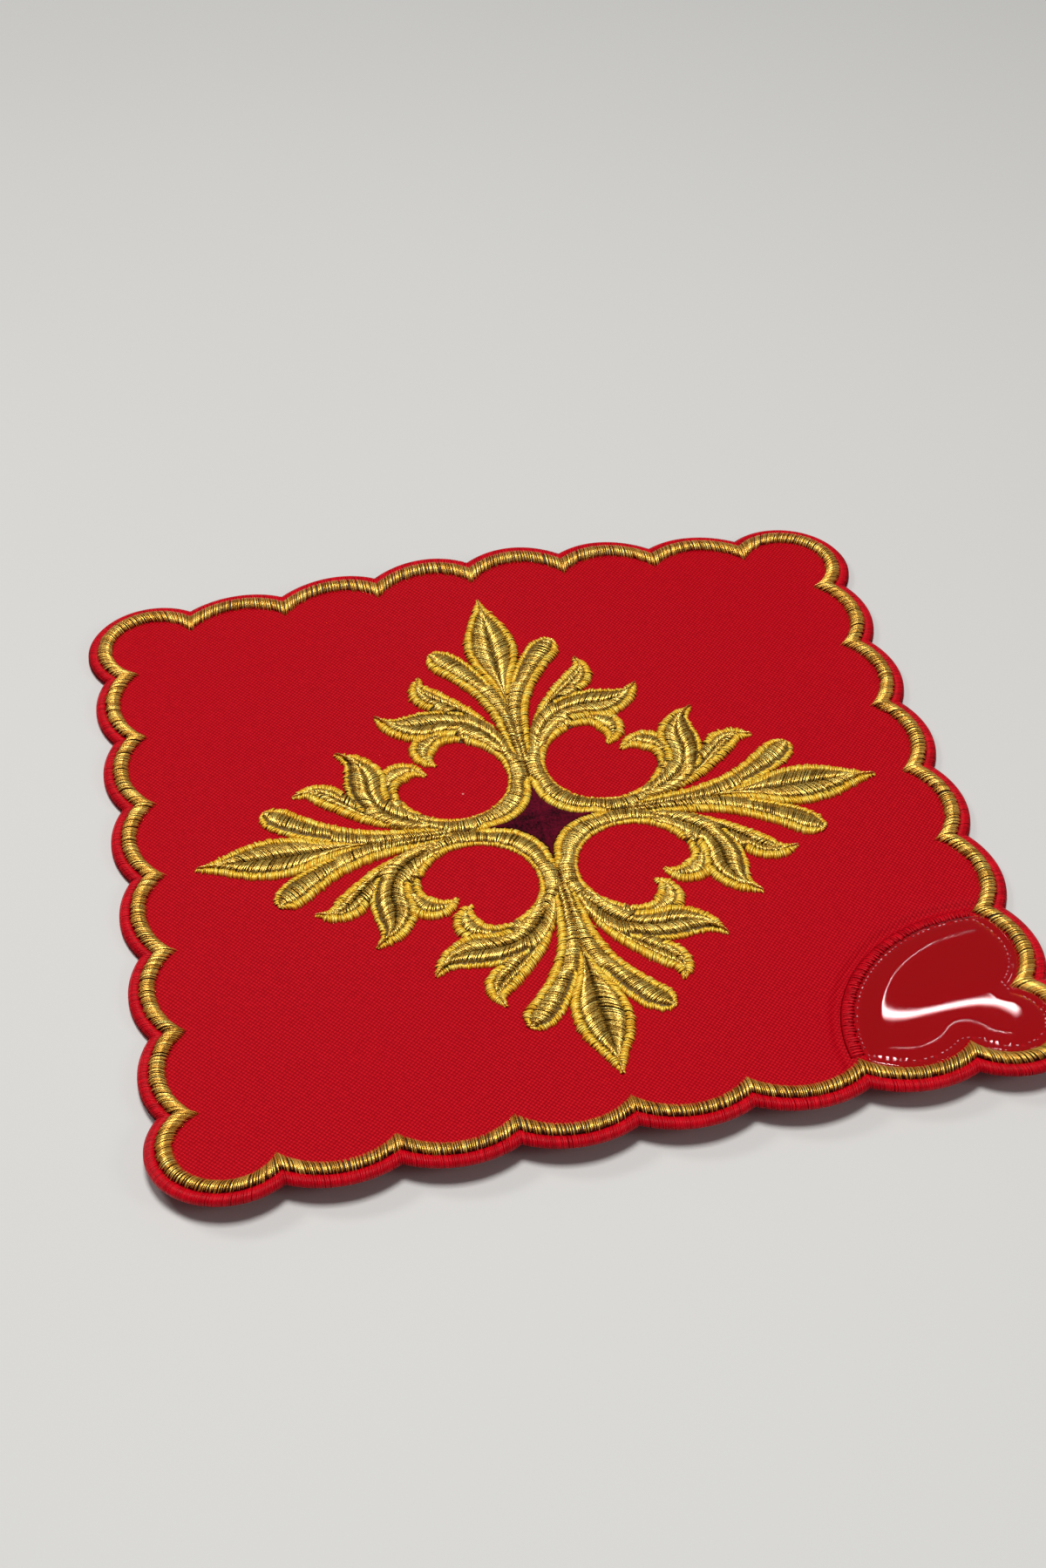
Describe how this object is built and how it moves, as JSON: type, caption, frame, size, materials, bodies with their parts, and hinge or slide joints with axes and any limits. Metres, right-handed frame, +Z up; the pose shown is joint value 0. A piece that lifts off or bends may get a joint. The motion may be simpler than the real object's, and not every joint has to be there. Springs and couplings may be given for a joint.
{
  "type": "chalice pall",
  "caption": "Square stiff red cloth pall with a scalloped gold-edged border, raised leaf embroidery in gold, a dark velvet star and a clear corner patch.",
  "frame": {"origin": "bottom centre of the whole pall, on the surface that it lies on", "axes": "+Z up out of the embroidered face, +X along the front edge towards the corner with the clear patch, +Y from the front edge to the back edge"},
  "size_m": [0.18, 0.18, 0.008],
  "materials": {
    "red_twill": "matt twill weave",
    "red_satin": "close satin stitch",
    "gold_satin": "metallic gold satin stitch",
    "gold_embroidery": "metallic gold thread with yellow satin outlines",
    "dark_velvet": "short pile",
    "clear_sheet": "clear, glossy, soft"
  },
  "bodies": {
    "root": {"pall_cloth": "red_twill", "red_rim": "red_satin", "gold_border": "gold_satin", "leaf_arm_back": "gold_embroidery", "leaf_arm_left": "gold_embroidery", "leaf_arm_front": "gold_embroidery", "leaf_arm_right": "gold_embroidery", "scroll_back_left": "gold_embroidery", "scroll_front_left": "gold_embroidery", "scroll_front_right": "gold_embroidery", "scroll_back_right": "gold_embroidery", "centre_star": "dark_velvet", "clear_patch": "clear_sheet", "patch_stitching": "red_satin"}
  },
  "joints": []
}
